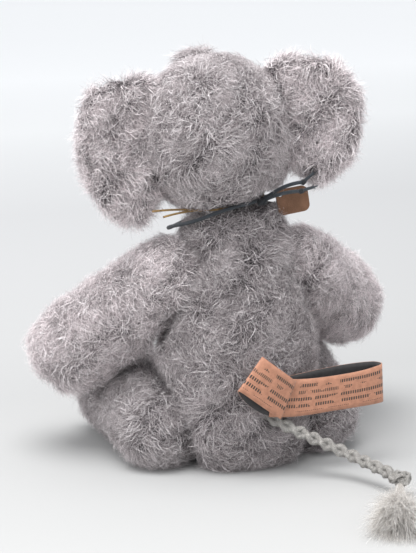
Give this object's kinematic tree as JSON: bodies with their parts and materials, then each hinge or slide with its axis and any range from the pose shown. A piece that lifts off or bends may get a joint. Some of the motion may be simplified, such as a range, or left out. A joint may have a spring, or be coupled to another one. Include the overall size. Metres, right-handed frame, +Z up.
{
  "type": "stuffed elephant",
  "caption": "Small seated mohair elephant on disc joints, with turning head, arms and legs, big ears, raised trunk and a braided, tasselled tail.",
  "frame": {"origin": "middle of the flat seat face under the torso", "axes": "+Z up, -Y is the way the elephant faces, +X is its own left"},
  "size_m": [0.1274, 0.1446, 0.1346],
  "materials": {
    "mohair": "long, ruffled pile",
    "filling": "loose polyester wadding",
    "suede": "matte, fine nap",
    "hardboard": "pressed fibre board",
    "steel": "zinc plated",
    "eye_glass": "black, polished",
    "tail_braid": "lustrous braided rayon",
    "waxed_cord": "waxed",
    "gold_thread": "slight lustre",
    "tag_leather": "smooth card with a grain",
    "label_ribbon": "woven satin ribbon with a black back",
    "bag_cloth": "cotton"
  },
  "bodies": {
    "torso": {"hip_left_inner_disc": "hardboard", "hip_right_inner_disc": "hardboard", "joint_bolts": "steel", "joint_lock_nuts": "steel", "joint_washers": "steel", "neck_lower_disc": "hardboard", "pellet_bag": "bag_cloth", "sewn_label": "label_ribbon", "shoulder_left_inner_disc": "hardboard", "shoulder_right_inner_disc": "hardboard", "tail_anchor_knot": "tail_braid", "tail_cord": "tail_braid", "tail_end_knot": "tail_braid", "tail_tassel": "tail_braid", "torso_cover": "mohair", "torso_stuffing": "filling"},
    "head": {"ear_left_back": "mohair", "ear_left_front": "mohair", "ear_right_back": "mohair", "ear_right_front": "mohair", "eye_left": "eye_glass", "eye_left_shank": "steel", "eye_right": "eye_glass", "eye_right_shank": "steel", "head_cover": "mohair", "head_stuffing": "filling", "neck_thread": "gold_thread", "neck_upper_disc": "hardboard", "necklace_cord": "waxed_cord", "necklace_ends": "waxed_cord", "necklace_knots": "waxed_cord", "swing_tag": "tag_leather", "trunk_cover": "mohair", "trunk_stuffing": "filling"},
    "arm_left": {"arm_left_cover": "mohair", "arm_left_pad": "suede", "arm_left_stuffing": "filling", "shoulder_left_outer_disc": "hardboard"},
    "arm_right": {"arm_right_cover": "mohair", "arm_right_pad": "suede", "arm_right_stuffing": "filling", "shoulder_right_outer_disc": "hardboard"},
    "leg_left": {"hip_left_outer_disc": "hardboard", "leg_left_cover": "mohair", "leg_left_insole": "hardboard", "leg_left_pad": "suede", "leg_left_stuffing": "filling"},
    "leg_right": {"hip_right_outer_disc": "hardboard", "leg_right_cover": "mohair", "leg_right_insole": "hardboard", "leg_right_pad": "suede", "leg_right_stuffing": "filling"}
  },
  "joints": [
    {"name": "neck_turn", "type": "hinge", "parent": "torso", "child": "head", "pos_m": [0.0025, 0, 0.087], "axis": [0.1323, 0, 0.9912], "continuous": true},
    {"name": "shoulder_left_swing", "type": "hinge", "parent": "torso", "child": "arm_left", "pos_m": [0.0158, 0, 0.0615], "axis": [-0.9272, 0, -0.3746], "range_deg": [-50, 52]},
    {"name": "shoulder_right_swing", "type": "hinge", "parent": "torso", "child": "arm_right", "pos_m": [-0.0158, 0, 0.0615], "axis": [-0.9272, 0, 0.3746], "range_deg": [-64, 43]},
    {"name": "hip_left_swing", "type": "hinge", "parent": "torso", "child": "leg_left", "pos_m": [0.019, 0, 0.0156], "axis": [-0.9537, 0, 0.3007], "range_deg": [-90, 0]},
    {"name": "hip_right_swing", "type": "hinge", "parent": "torso", "child": "leg_right", "pos_m": [-0.019, 0, 0.0156], "axis": [-0.9537, 0, -0.3007], "range_deg": [-90, 0]}
  ]
}
